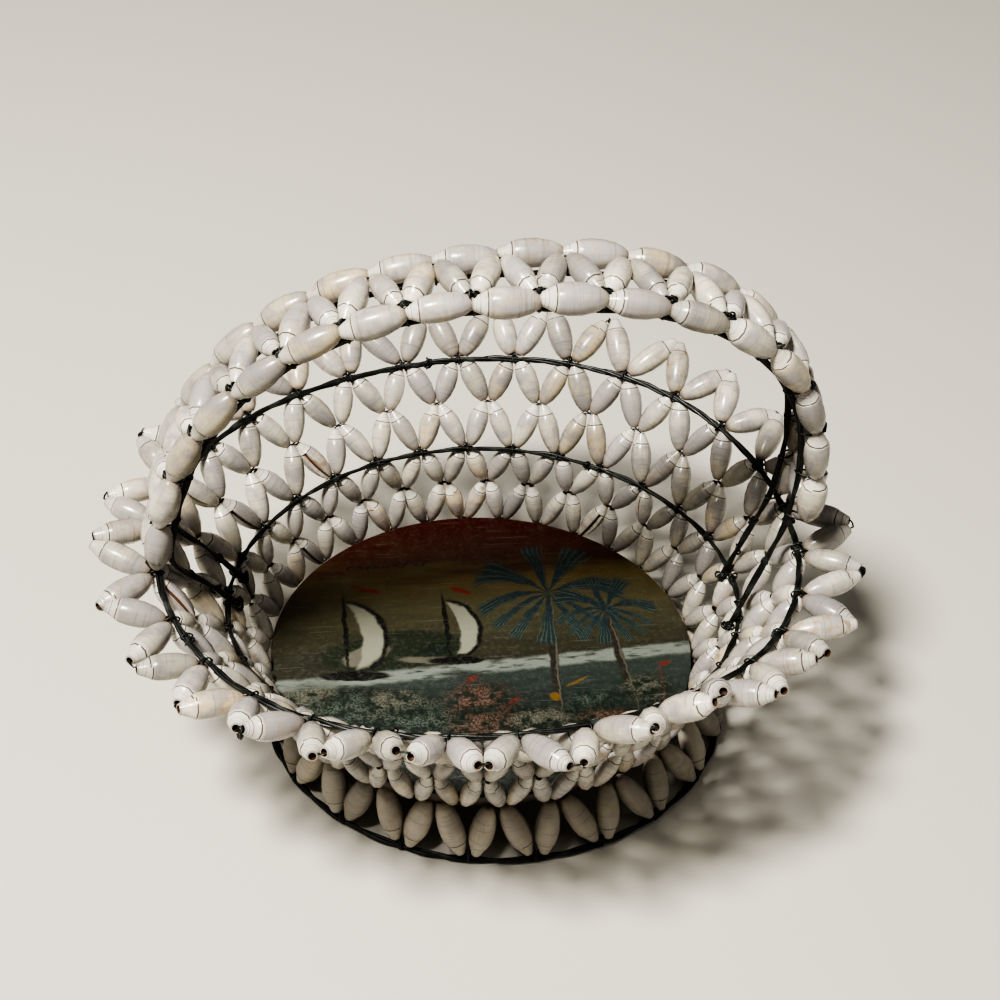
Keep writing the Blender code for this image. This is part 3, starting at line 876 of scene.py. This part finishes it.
def wireMesh(name, routes, radius, closed, sides, uneven=0.0):
    curve = bpy.data.curves.new(name, "CURVE")
    curve.dimensions = "3D"
    curve.bevel_depth = radius
    curve.bevel_resolution = {4: 0, 6: 1, 8: 2}[sides]
    curve.use_fill_caps = not closed
    for k, route in enumerate(routes):
        spline = curve.splines.new("POLY")
        spline.points.add(len(route) - 1)
        swell = [math.sin(0.9 * i + 2.1 * k) * math.sin(0.37 * i + k) for i in range(len(route))]
        spline.points.foreach_set("radius", [1.0 + uneven * share for share in swell])
        spline.points.foreach_set("co", [number for point in route for number in (*point, 1.0)])
        spline.use_cyclic_u = closed
        spline.use_smooth = True
    wire = bpy.data.objects.new(name, curve)
    bpy.context.scene.collection.objects.link(wire)
    deselectAll()
    wire.select_set(True)
    bpy.context.view_layer.objects.active = wire
    bpy.ops.object.convert(target="MESH")
    wire = bpy.context.object
    wire.data.materials.clear()
    wire.data.materials.append(wireFinish)
    return wire


def makeThread(name, thread, radius, closed):
    wire = wireMesh(name, [thread], radius, closed, 4)
    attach(wire, "root")


# strands laid round a line, with a reference direction that the line never takes
def twist(line, settings, reference, closed, dice):
    count = len(line)
    distances = [0.0]
    for i in range(1, count + 1):
        distances.append(distances[-1] + (line[i % count] - line[i - 1]).length)
    total = distances[-1] if closed else distances[-2]
    turns = max(1, round(total / settings["turn"]))
    phases = [dice.uniform(0, 6.28) for _ in range(3)]
    routes = []
    for strand in range(settings["strands"]):
        route = []
        for i, point in enumerate(line):
            ahead = line[(i + 1) % count] if closed or i + 1 < count else point
            behind = line[i - 1] if closed or i else point
            run = (ahead - behind).normalized()
            first = run.cross(reference).normalized()
            second = run.cross(first)
            share = distances[i] / total
            lap = 2 * math.pi * share
            angle = turns * lap + 0.5 * math.sin(7 * lap + phases[0])
            angle += 2 * math.pi * strand / settings["strands"]
            slack = math.sin(23 * lap + phases[1] + strand) * math.sin(7 * lap + phases[2] * strand)
            spread = settings["spread"] * (1.0 + settings["wobble"] * slack)
            route.append(point + spread * (first * math.cos(angle) + second * math.sin(angle)))
        routes.append(route)
    return routes


def fullTurn(count):
    return [2 * math.pi * k / count for k in range(count)]


def knotRoutes(place, size, dice, turns):
    routes = []
    for _ in range(turns):
        tilt = Euler((dice.uniform(0, 3.14), dice.uniform(0, 3.14), dice.uniform(0, 3.14))).to_matrix()
        half = size * dice.uniform(0.75, 1.15)
        offset = Vector((dice.uniform(-1, 1), dice.uniform(-1, 1), dice.uniform(-1, 1))) * size * 0.25
        route = []
        for a in fullTurn(10):
            loop = half * Vector((math.cos(a), 0.6 * math.sin(a), 0.25 * math.sin(2 * a)))
            route.append(place + offset + tilt @ loop)
        routes.append(route)
    return routes


def tieRoute(one, other, run, reach, lean):
    middle = (one + other) / 2
    across = other - one
    half = across.length / 2 + reach
    across = across.normalized()
    height = run.cross(across).normalized() * reach + run * lean
    return [middle + across * half * math.cos(a) + height * math.sin(a) for a in fullTurn(10)]


# wall and foot rows

# stainedAt gives x of the stained shells at the back. stoodUp says where tips are bent up or down: the middle
# and half the width of the stretch in degrees, and the height.
rowSettings = {
    1: {"radius": 0.00345, "slits": 0.15, "stray": 0.0004, "stainedAt": (-0.026, 0.001, 0.007)},
    2: {"radius": 0.00355, "slits": 0.12, "stray": 0.0004},
    3: {"radius": 0.00385, "slits": 0.12, "stray": 0.0005},
    4: {"radius": 0.00400, "slits": 0.15, "stray": 0.0005},
    5: {"radius": 0.00430, "slits": 0.50, "stray": 0.0010, "loose": 0.0026,
        "stoodUp": ((-66, 16, 0.0060), (-108, 10, 0.0035), (-20, 10, -0.0030))},
}

footSettings = {
    "halves": (0.0715, 0.0610),
    "middle": (0.0070, -0.0020, 0.0),
    "wireHeight": 0.0026,
    "wireLevel": 0.0014,  # the middle of the wire
    "pairs": 21,
    "underBoard": 0.0012,
    "radius": 0.00460,
    "spread": 0.0021,
    "slits": 0.3,
    "stray": 0.0004,
}

rowVariety = {
    "radius": (0.94, 1.05),
    "swayAlong": 0.0002,
    "swayOut": 0.0003,
    "stainHalf": 0.0025,
    "stainedTone": (0.05, 0.7, 1.0),
}

threadSettings = {"radius": 0.00030, "bulge": 0.0002, "pastTip": 0.0016}
tipLoopSettings = {"degrees": (-15, 82, 60, 148, 163, -130), "size": 0.0016, "radius": 0.00034}


def degreesOf(point):
    return math.degrees(math.atan2(point.y, point.x))


def rowNodes(bottom, top, angles):
    nodes = []
    for i, angle in enumerate(angles):
        line = top if i % 2 else bottom
        run = heading(line, angle)
        rise = (top(angle) - bottom(angle)).normalized()
        nodes.append((line(angle), run, run.cross(rise).normalized()))
    return nodes


def loosen(nodes, settings, dice):
    amount = settings["loose"]
    for i in range(1, len(nodes), 2):
        point, run, outward = nodes[i]
        point = point + outward * dice.uniform(-1.0, 1.0) * amount + run * dice.uniform(-0.9, 0.9) * amount
        degrees = degreesOf(point)
        for middle, width, lift in settings["stoodUp"]:
            point = point + outward * -lift * max(0.0, 1.0 - ((degrees - middle) / width) ** 2)
        nodes[i] = (point, run, outward)
    return nodes


# the radius at which two shells that meet at a node would touch
def roomAt(before, here, after, spread):
    apart = 2 * spread + wallShape["roomShare"] * ((after[0] - before[0]).length - 4 * spread)
    upright = 1.0
    for far in (before[0], after[0]):
        upright = min(upright, math.sqrt(1 - (far - here[0]).normalized().dot(here[1]) ** 2))
    return apart * upright / 2


def layRow(name, node, nodes, size, settings, apexUp, finish, dice):
    count = len(nodes)
    spread = settings.get("spread", wallShape["tipSpread"])
    room = [roomAt(nodes[i - 1], nodes[i], nodes[(i + 1) % count], spread) for i in range(count)]
    copies = []
    thread = []
    for i in range(count):
        here, run, outward = nodes[i]
        there, nextRun, nextOutward = nodes[(i + 1) % count]
        start = here + run * spread
        end = there - nextRun * spread
        along = (end - start).normalized()
        goesUp = i % 2 == 0
        smallest, largest = rowVariety["radius"]
        fitting = min(room[i], room[(i + 1) % count]) * largest
        radius = min(settings["radius"] * dice.uniform(smallest, largest), fitting)
        facing = outward + nextOutward
        swayAlong, swayOut = rowVariety["swayAlong"], rowVariety["swayOut"]
        sway = nextRun * dice.uniform(-swayAlong, swayAlong)
        sway += facing.normalized() * dice.uniform(-swayOut, swayOut)
        front, tip = (start, end) if goesUp == apexUp else (end, start)
        tip = tip + Vector([dice.uniform(-1.0, 1.0) * settings["stray"] for _ in range(3)])
        shape = shellShapes[("slit" if dice.random() < settings["slits"] else "plain") + size]
        tone = shellTone(dice)
        away = [abs((front.x + tip.x) / 2 - x) for x in settings.get("stainedAt", ())]
        if tip.y > 0 and away and min(away) < rowVariety["stainHalf"]:
            tone = rowVariety["stainedTone"]
        copy = copyShell(shape, front + sway, tip, facing, radius, dice.uniform(0.0, 6.28), tone)
        copy.data.materials[0] = finish
        copies.append(copy)
        past = along * threadSettings["pastTip"]
        thread += [start + past, start.lerp(end, 0.5), end - past, end]
        thread += [there + along * threadSettings["bulge"], there + nextRun * spread]
    joinPieces(name, copies, [node])
    makeThread(name + "Thread", thread, threadSettings["radius"], True)


def layWallRow(row, dice):
    below, above = row - 1, row
    offset = wallShape["tipMeet"]

    def bottom(angle):
        low, high = wallPoint(below, angle), wallPoint(above, angle)
        return low + (high - low).normalized() * (offset if below else -wallShape["pastBoardTop"])

    def top(angle):
        low, high = wallPoint(below, angle), wallPoint(above, angle)
        return high - (high - low).normalized() * offset

    first = 0 if below % 2 else 1
    angles = wallAngles[first:] + [2 * math.pi + angle for angle in wallAngles[:first]]
    settings = rowSettings[row]
    nodes = rowNodes(bottom, top, angles)
    if row == 5:
        nodes = loosen(nodes, settings, dice)
    size = "Large" if row == 5 else "Small"
    layRow(f"wallShellsRow{row}", f"wall_shells_row_{row}", nodes, size, settings, True, shellFinish, dice)
    return nodes


# loose ends of wire curled into loops at a few free tips
def makeTipLoops(nodes, settings, dice):
    size = settings["size"]
    routes = []
    for wanted in settings["degrees"]:
        point, run, outward = min(nodes[1::2], key=lambda node: abs(degreesOf(node[0]) - wanted))
        for k in range(2):
            middle = point + outward * size * 0.5 + run * (k - 0.5) * size * 0.3
            second = run.lerp(outward.cross(run), 0.3 + 0.4 * k)
            loop = [outward * math.cos(a) + second * math.sin(a) for a in fullTurn(12)]
            routes.append([middle + size * spot for spot in loop])
        routes += knotRoutes(point, size * 0.8, dice, 1)
    joinPieces("tipLoops", [wireMesh("tipLoopWire", routes, settings["radius"], True, 4)], [])


for row in range(1, 6):
    topNodes = layWallRow(row, random.Random(100 + row))
makeTipLoops(topNodes, tipLoopSettings, random.Random(120))
print("wall rows laid")


footMiddle = Vector(footSettings["middle"])


def footBottom(angle):
    height = footSettings["wireHeight"] + wallShape["tipGap"] + wallShape["tipRadius"]
    return ovalPoint(footSettings["halves"], angle, height, footMiddle)


def footTop(angle):
    height = boardSettings["underside"] - wallShape["tipGap"]
    return ovalPoint(boardHalves, angle, height, (boardMiddle + footMiddle) / 2, footSettings["underBoard"])


footAngles = evenAngles(footBottom, 2 * footSettings["pairs"])
footNodes = rowNodes(footBottom, footTop, footAngles)
dice = random.Random(90)
layRow("footShells", "foot_shells", footNodes, "Large", footSettings, False, footShellFinish, dice)
print("foot laid")


# wire rings

ringShape = {"tie": 0.00030, "tieLean": 0.0006, "tieStep": 0.0009, "uneven": 0.22}

# tieReach is how far a tie stands off the wires that it holds, and knots says where they are, in degrees
rimRing = {
    "strands": 3,
    "strand": 0.00056,
    "spread": 0.00046,
    "turn": 0.034,
    "wobble": 0.5,
    "points": 300,
    "ties": 1,
    "tieReach": 0.0015,
    "knots": (19, 3, -5, -33, 168, 205, 250, 96),
    "knotSize": 0.0019,
    "knotTurns": 4,
}

lowerWireRing = {
    "strands": 2,
    "strand": 0.00052,
    "spread": 0.00038,
    "turn": 0.028,
    "wobble": 0.6,
    "points": 240,
    "ties": 1,
    "tieReach": 0.0012,
    "knots": (3, -14, 166, 178, 60),
    "knotSize": 0.0016,
    "knotTurns": 3,
}

footRing = {
    "strands": 2,
    "strand": 0.00062,
    "spread": 0.00044,
    "turn": 0.030,
    "wobble": 0.2,
    "points": 200,
    "ties": 2,
    "tieReach": 0.0011,
    "knots": (),
}


def lowerWire(angle):
    return lowerRing(angle, wallShape["lowerWireInset"])


def rimWire(angle):
    return rimLine(angle, wallShape["rimWireInset"])


def footWire(angle):
    return ovalPoint(footSettings["halves"], angle, footSettings["wireLevel"], footMiddle)


def ringTies(wireLine, nodeLine, angles, settings, dice):
    routes = []
    for angle in angles:
        run = heading(wireLine, angle)
        for k in range(settings["ties"]):
            slide = run * (k - (settings["ties"] - 1) / 2) * ringShape["tieStep"]
            lean = dice.uniform(-1.0, 1.0) * ringShape["tieLean"]
            one, other = wireLine(angle) + slide, nodeLine(angle) + slide
            routes.append(tieRoute(one, other, run, settings["tieReach"], lean))
    return routes


def makeRing(name, node, wireLine, nodeLine, angles, settings, tieDice, dice):
    ties = ringTies(wireLine, nodeLine, angles, settings, tieDice)
    for degrees in settings["knots"]:
        place = wireLine(math.radians(degrees))
        ties += knotRoutes(place, settings["knotSize"], tieDice, settings["knotTurns"])
    line = [wireLine(angle) for angle in fullTurn(settings["points"])]
    strands = twist(line, settings, Vector((0, 0, 1)), True, dice)
    pieces = [wireMesh(name + "Strands", strands, settings["strand"], True, 6, ringShape["uneven"])]
    pieces.append(wireMesh(name + "Ties", ties, ringShape["tie"], True, 4))
    joinPieces(name, pieces, [node])


tieDice = random.Random(7)
for seed, ring in enumerate((
    ("rimWireBundle", "rim_wire", rimWire, rimLine, wallAngles[1::2], rimRing),
    ("lowerWireRing", "lower_ring_wire", lowerWire, lowerRing, wallAngles[1::2], lowerWireRing),
    ("footWireRing", "foot_ring", footWire, footBottom, footAngles[0::2], footRing),
), 1):
    makeRing(*ring, tieDice, random.Random(seed))
print("wire rings made")


# handle

handleSettings = {
    "rise": 0.0875,
    "insideRim": 0.0030,
    "leftOfMiddle": 0.0010,
    "lean": 0.0100,
    "squareness": 2.4,
    "width": 0.0196,
    "shells": 17,
    "radius": 0.0040,
    "middleRadius": 0.0035,
    "tipRadius": 0.0012,
    "rimWireRadius": 0.0013,
    "edgeThread": 0.0005,
    "edgeSway": 0.001,
    "edgeOverlap": 0.0003,
    "middleLift": (0.0002, 0.0011),
    "knotOffset": 0.0014,
    "knotSize": 0.0015,
    "middleThread": 0.00035,
    "middleKnot": 0.00034,
    "wireUnder": 0.0044,
    "wireInward": 0.0022,
    "legInsideWire": 0.0014,
    "pastRing": 0.0012,
    "frontLegs": (math.radians(177), math.radians(-16)),
    "backLegs": (math.radians(167), math.radians(5)),
}

handleWireSettings = {
    "strands": 2,
    "strand": 0.00064,
    "spread": 0.00036,
    "turn": 0.045,
    "wobble": 0.2,
    "uneven": 0.12,
    "tie": 0.00036,
    "tieReach": 0.0012,
    "tieLean": 0.0006,
    "tieAbove": -0.0004,
    "endKnot": 0.0020,
    "legKnot": 0.0016,
    "legKnotsAt": (0.35, 0.7),
}


def archPoints(samples=400):
    halfSpan = wallShape["rimHalves"][0] - handleSettings["insideRim"]
    base = max(rimLine(0.0).z, rimLine(math.pi).z)
    base += handleSettings["rimWireRadius"] + wallShape["tipGap"] + handleSettings["tipRadius"]
    power = 2 / handleSettings["squareness"]
    points = []
    for i in range(samples + 1):
        angle = math.pi * (1 - i / samples)
        across = math.copysign(abs(math.cos(angle)) ** power, math.cos(angle))
        up = max(math.sin(angle), 0.0) ** power
        x = halfSpan * across + handleSettings["lean"] * up - handleSettings["leftOfMiddle"]
        points.append(Vector((x, 0.0, base + handleSettings["rise"] * up)))
    return points


arch = archPoints()
archLengths = [0.0]
for one, other in zip(arch, arch[1:]):
    archLengths.append(archLengths[-1] + (other - one).length)
pitch = archLengths[-1] / (handleSettings["shells"] + 0.5)


def onArch(distance):
    distance = min(max(distance, 0.0), archLengths[-1])
    i = 1
    while archLengths[i] < distance and i < len(arch) - 1:
        i += 1
    share = (distance - archLengths[i - 1]) / (archLengths[i] - archLengths[i - 1])
    along = (arch[i] - arch[i - 1]).normalized()
    return arch[i - 1].lerp(arch[i], share), along, Vector((-along.z, 0.0, along.x))


def layEdgeString(name, node, side, first, dice):
    beside = Vector((0, side * handleSettings["width"] / 2, 0))
    copies = []
    thread = []
    for i in range(handleSettings["shells"]):
        here, along, outward = onArch((first + i) * pitch)
        there, _, nextOutward = onArch((first + i + 1) * pitch)
        tip, front = here + beside, there + beside
        overlap = (front - tip).normalized() * handleSettings["edgeOverlap"]
        sway = outward * dice.uniform(-0.5, 0.5) + Vector((0, dice.uniform(-0.6, 0.6), 0))
        sway *= handleSettings["edgeSway"]
        size = handleSettings["radius"] * dice.uniform(0.92, 1.06)
        shape = shellShapes[dice.choice(("plainLarge", "plainLarge", "slitLarge"))]
        start, end = front + overlap + sway, tip - overlap + sway * 0.5
        facing = outward + nextOutward
        copies.append(copyShell(shape, start, end, facing, size, dice.uniform(0, 6.28), shellTone(dice)))
        thread += [tip, tip + overlap * 6, front - overlap * 6]
    thread.append(front + overlap * 3)
    joinPieces(name, copies, [node])
    makeThread(name + "Thread", thread, handleSettings["edgeThread"], False)


def layHandleMiddle(dice):
    reach = handleSettings["width"] / 2 - handleSettings["tipRadius"]
    reach -= wallShape["tipRadius"] + wallShape["tipGap"]
    nodes = []
    for i in range(2 * handleSettings["shells"] + 1):
        place, along, outward = onArch(i * pitch / 2)
        side = 1 if i % 2 else -1
        nodes.append((place + Vector((0, side * reach, 0)), along, outward))
    copies = []
    thread = []
    for i, ((here, along, outward), (there, nextAlong, nextOutward)) in enumerate(zip(nodes, nodes[1:])):
        start = here + along * wallShape["tipSpread"]
        end = there - nextAlong * wallShape["tipSpread"]
        front, tip = (start, end) if i % 2 else (end, start)  # spires meet at the front edge
        facing = outward + nextOutward
        lift = facing.normalized() * dice.uniform(*handleSettings["middleLift"])
        shape = shellShapes[dice.choice(("plainLarge", "slitLarge", "plainSmall"))]
        size = handleSettings["middleRadius"] * dice.uniform(0.93, 1.06)
        roll = dice.uniform(0, 6.28)
        copies.append(copyShell(shape, front + lift, tip + lift, facing, size, roll, shellTone(dice)))
        thread += [start + lift, start.lerp(end, 0.5) + lift, end + lift]
    joinPieces("handleShellsMiddle", copies, ["handle_shells_middle"])
    knots = []
    for here, along, outward in nodes[::2]:
        place = here + (outward - Vector((0, 1, 0))) * handleSettings["knotOffset"]
        knots += knotRoutes(place, handleSettings["knotSize"], dice, 3)
    pieces = [wireMesh("handleMiddleThread", [thread], handleSettings["middleThread"], False, 4)]
    pieces.append(wireMesh("handleKnots", knots, handleSettings["middleKnot"], True, 4))
    joinPieces("handleBindingWire", pieces, [])


def legEnd(angle):
    inset = wallShape["lowerWireInset"] + handleSettings["legInsideWire"]
    slant = (wallPoint(4, angle) - wallPoint(2, angle)).normalized()
    return lowerRing(angle, inset / slant.z) - slant * handleSettings["pastRing"]


# a smooth curve through the points, each stretch bent by the points before and after it
def smoothRoute(points, parts=6):
    found = []
    padded = [points[0], *points, points[-1]]
    for before, here, there, after in zip(padded, padded[1:], padded[2:], padded[3:]):
        square = 2 * before - 5 * here + 4 * there - after
        cube = 3 * here - before - 3 * there + after
        for k in range(parts):
            t = k / parts
            found.append(0.5 * (2 * here + (there - before) * t + square * t**2 + cube * t**3))
    return found + [points[-1]]


def makeHandleWire(name, node, side, legAngles, settings, dice):
    under = handleSettings["wireUnder"]
    beside = Vector((0, side * handleSettings["width"] / 2, 0))
    inner = Vector((0, side * (handleSettings["width"] / 2 - handleSettings["wireInward"]), 0))
    route = []
    for i in range(handleSettings["shells"] + 2):
        place, along, outward = onArch(i * pitch)
        route.append(place + inner - outward * under)
    left, right = (legEnd(angle) for angle in legAngles)
    route = [left, left.lerp(route[0], 0.5)] + route + [route[-1].lerp(right, 0.5), right]
    line = smoothRoute(route)
    strands = twist(line, settings, Vector((0, 1, 0)), False, dice)
    pieces = [wireMesh(name + "Strands", strands, settings["strand"], False, 8, settings["uneven"])]
    ties = []
    for end in (left, right):
        ties += knotRoutes(end, settings["endKnot"], dice, 4)
    for i in range(1, handleSettings["shells"] + 1):
        place, along, outward = onArch((i + (0.0 if side < 0 else 0.5)) * pitch)
        one, other = place + beside + outward * settings["tieAbove"], place + inner - outward * under
        lean = dice.uniform(-1.0, 1.0) * settings["tieLean"]
        ties.append(tieRoute(one, other, along, settings["tieReach"], lean))
    for height in settings["legKnotsAt"]:
        for end, archEnd in ((left, route[2]), (right, route[-3])):
            ties += knotRoutes(end.lerp(archEnd, height), settings["legKnot"], dice, 1)
    pieces.append(wireMesh(name + "Ties", ties, settings["tie"], True, 4))
    joinPieces(name, pieces, [node])


layEdgeString("handleShellsFront", "handle_shells_front", -1, 0.0, random.Random(21))
layEdgeString("handleShellsBack", "handle_shells_back", 1, 0.5, random.Random(22))
layHandleMiddle(random.Random(23))
for name, node, side, legs, seed in (
    ("handleWireFront", "handle_wire_front", -1, "frontLegs", 24),
    ("handleWireBack", "handle_wire_back", 1, "backLegs", 25),
):
    makeHandleWire(name, node, side, handleSettings[legs], handleWireSettings, random.Random(seed))
print("handle made")

for shape in shellShapes.values():
    bpy.data.objects.remove(shape)
